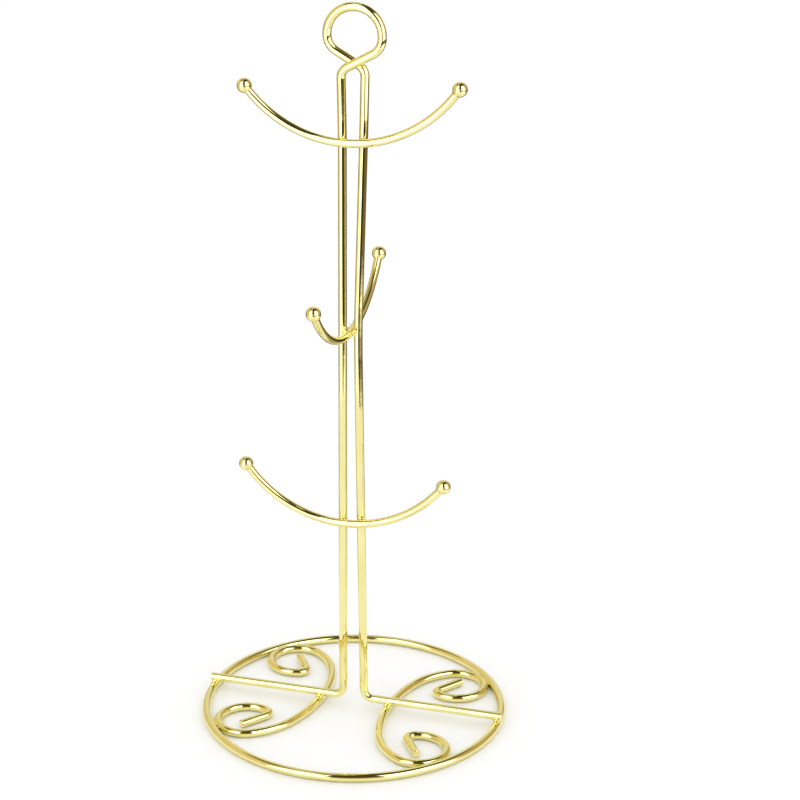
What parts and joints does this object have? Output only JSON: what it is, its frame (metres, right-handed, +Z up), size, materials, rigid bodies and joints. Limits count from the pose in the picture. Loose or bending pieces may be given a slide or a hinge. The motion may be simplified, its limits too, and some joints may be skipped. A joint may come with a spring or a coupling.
{
  "type": "mug tree",
  "caption": "Free-standing mug tree of bent round brass-finished wire, with upswept ball-tipped arms, a carrying loop on top and a scrolled ring base.",
  "frame": {"origin": "on the surface the tree stands on, under the centre of the base ring", "axes": "+Z up; the base bars and the upper and lower arms run along X; the middle arm runs along Y"},
  "size_m": [0.16, 0.16, 0.37],
  "materials": {
    "polished_brass": "polished"
  },
  "bodies": {
    "root": {"main_frame": "polished_brass", "base_ring": "polished_brass", "left_scroll": "polished_brass", "right_scroll": "polished_brass", "upper_arm": "polished_brass", "middle_arm": "polished_brass", "lower_arm": "polished_brass", "upper_left_ball": "polished_brass", "upper_right_ball": "polished_brass", "middle_front_ball": "polished_brass", "middle_back_ball": "polished_brass", "lower_left_ball": "polished_brass", "lower_right_ball": "polished_brass"}
  },
  "joints": []
}
